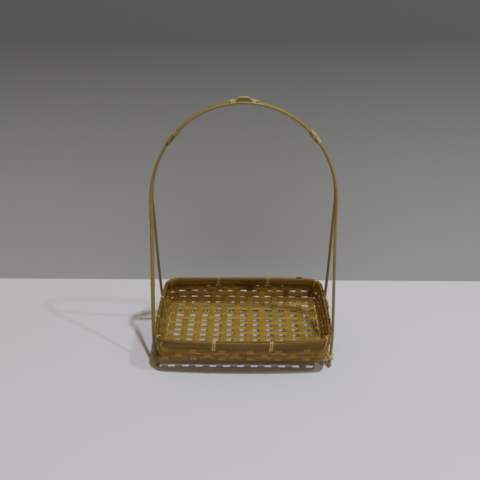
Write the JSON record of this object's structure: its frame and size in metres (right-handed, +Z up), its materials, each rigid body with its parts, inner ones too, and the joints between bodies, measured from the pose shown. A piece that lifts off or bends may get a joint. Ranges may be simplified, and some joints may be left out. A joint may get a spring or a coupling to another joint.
{
  "type": "handled bamboo basket",
  "caption": "Shallow rectangular woven bamboo tray with rounded corners and flared walls, carried between two tall bent hoops whose legs raise it off the table.",
  "frame": {"origin": "middle of the footprint on the table, at the height of the feet", "axes": "+Z up, -Y to the front, which is one of the tray's long sides, +X to the right"},
  "size_m": [0.2512, 0.1644, 0.3615],
  "materials": {
    "stake_bamboo": "split bamboo with its golden brown skin, satin",
    "weaver_bamboo": "thin split bamboo, straw to olive, satin",
    "rim_bamboo": "wide split bamboo, darker brown, satin",
    "rod_bamboo": "round bent bamboo, satin skin",
    "rattan": "pale split rattan, matte"
  },
  "bodies": {
    "root": {"back_bar_wrap": "rattan", "back_cross_bar": "rod_bamboo", "back_hoop": "rod_bamboo", "crown_loop": "rattan", "crown_wrap_left": "rattan", "crown_wrap_right": "rattan", "front_bar_wrap": "rattan", "front_cross_bar": "rod_bamboo", "front_hoop": "rod_bamboo", "inner_rim_band": "rim_bamboo", "leg_tie_back_left": "rattan", "leg_tie_back_right": "rattan", "leg_tie_front_left": "rattan", "leg_tie_front_right": "rattan", "outer_rim_band": "rim_bamboo", "rim_stitch_back_left": "rattan", "rim_stitch_back_right": "rattan", "rim_stitch_corner_back_left": "rattan", "rim_stitch_corner_back_right": "rattan", "rim_stitch_corner_front_left": "rattan", "rim_stitch_corner_front_right": "rattan", "rim_stitch_front_left": "rattan", "rim_stitch_front_right": "rattan", "rim_stitch_left_back": "rattan", "rim_stitch_left_front": "rattan", "rim_stitch_right_back": "rattan", "rim_stitch_right_front": "rattan", "shoulder_lashing_left": "rattan", "shoulder_lashing_right": "rattan", "stake_01": "stake_bamboo", "stake_02": "stake_bamboo", "stake_03": "stake_bamboo", "stake_04": "stake_bamboo", "stake_05": "stake_bamboo", "stake_06": "stake_bamboo", "stake_07": "stake_bamboo", "stake_08": "stake_bamboo", "stake_09": "stake_bamboo", "stake_10": "stake_bamboo", "stake_11": "stake_bamboo", "stake_12": "stake_bamboo", "wall_band_lower": "weaver_bamboo", "wall_band_middle": "weaver_bamboo", "wall_band_upper": "weaver_bamboo", "weaver_01": "weaver_bamboo", "weaver_02": "weaver_bamboo", "weaver_03": "weaver_bamboo", "weaver_04": "weaver_bamboo", "weaver_05": "weaver_bamboo", "weaver_06": "weaver_bamboo", "weaver_07": "weaver_bamboo", "weaver_08": "weaver_bamboo", "weaver_09": "weaver_bamboo", "weaver_10": "weaver_bamboo", "weaver_11": "weaver_bamboo", "weaver_12": "weaver_bamboo"}
  },
  "joints": []
}
